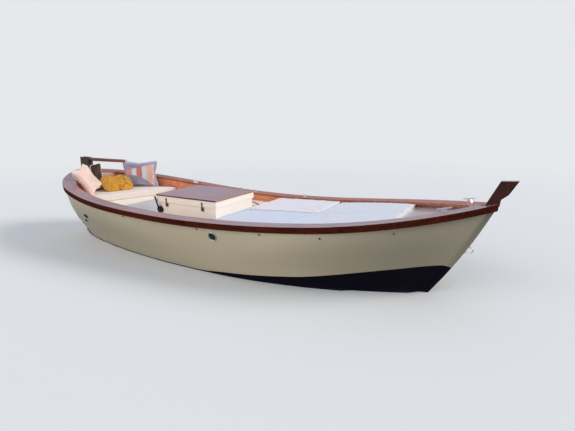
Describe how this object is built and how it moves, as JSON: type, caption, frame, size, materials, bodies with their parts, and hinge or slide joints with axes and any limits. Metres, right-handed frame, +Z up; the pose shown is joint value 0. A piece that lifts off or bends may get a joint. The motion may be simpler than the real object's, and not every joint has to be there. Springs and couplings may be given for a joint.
{
  "type": "inboard motorboat",
  "caption": "Open double-ended motor launch with an engine box amidships, tiller steering, cushioned seats and hardwood rails.",
  "frame": {"origin": "midships on the centre line, on the surface of the water", "axes": "+X forward to the bow, +Y to port, +Z up"},
  "size_m": [6.696, 2.186, 1.9223],
  "materials": {
    "gelcoat_cream": "satin gelcoat",
    "gelcoat_hull": "gloss gelcoat, black below the waterline",
    "hardwood": "varnished",
    "dark_hardwood": "varnished",
    "cushion_white": "woven cover",
    "pillow_pink": "woven cover",
    "pillow_brown_cloth": "woven cover",
    "pillow_mustard_cloth": "woven cover",
    "pillow_lilac_stripe": "striped cover",
    "stainless": "polished",
    "dark_plastic": "matt",
    "bronze": "cast and turned",
    "engine_paint": "gloss paint",
    "bottom_paint": "matt antifouling"
  },
  "bodies": {
    "hull": {"hull_shell": "gelcoat_hull", "keel": "gelcoat_hull", "cap_rails": "hardwood", "rubbing_strakes": "dark_hardwood", "coamings": "hardwood", "stem_head": "dark_hardwood", "stern_deck": "hardwood", "stern_backrest": "hardwood", "foredeck": "gelcoat_cream", "fore_coaming": "gelcoat_cream", "sole": "gelcoat_cream", "aft_seat": "gelcoat_cream", "sunbed_platform": "gelcoat_cream", "engine_box": "gelcoat_cream", "engine_block": "engine_paint", "engine_beds": "gelcoat_cream", "box_hinges": "stainless", "box_latches": "stainless", "engine_control": "dark_plastic", "seat_hinges": "stainless", "shaft_tube": "bronze", "heel_shoe": "bronze", "rudder_tube": "stainless", "mooring_cleats": "stainless", "rail_sockets": "stainless", "filler_cap": "stainless", "bow_eye": "stainless", "hull_outlets": "stainless", "aft_cushion": "cushion_white", "sunbed_pads": "cushion_white", "pillow_cream": "pillow_pink", "pillow_brown": "pillow_brown_cloth", "pillow_mustard": "pillow_mustard_cloth", "pillow_striped": "pillow_lilac_stripe"},
    "lid": {"engine_lid": "gelcoat_cream", "lid_board": "hardwood", "lid_hinges": "stainless", "lid_keepers": "stainless"},
    "locker_door": {"locker_door": "gelcoat_cream", "door_hinges": "stainless"},
    "propeller": {"propeller_shaft": "bronze", "propeller": "bronze"},
    "rudder": {"rudder_blade": "bottom_paint", "rudder_head": "dark_hardwood"},
    "tiller": {"tiller": "hardwood"}
  },
  "joints": [
    {"name": "lid_hinge", "type": "hinge", "parent": "hull", "child": "lid", "pos_m": [-0.5, 0.453, 0.752], "axis": [-1, 0, 0], "range_deg": [0, 85]},
    {"name": "door_hinge", "type": "hinge", "parent": "hull", "child": "locker_door", "pos_m": [-1.7817, -0.489, 0.35], "axis": [0, 0, -1], "range_deg": [0, 110]},
    {"name": "propeller_spin", "type": "hinge", "parent": "hull", "child": "propeller", "pos_m": [-2.74, 0, -0.4], "axis": [0.9877, 0, 0.1564], "continuous": true},
    {"name": "rudder_hinge", "type": "hinge", "parent": "hull", "child": "rudder", "pos_m": [-3.06, 0, 0.5], "axis": [0, 0, 1], "range_deg": [-35, 35]},
    {"name": "tiller_lift", "type": "hinge", "parent": "rudder", "child": "tiller", "pos_m": [-3.14, 0, 1.204], "axis": [0, -1, 0], "range_deg": [0, 75]}
  ]
}
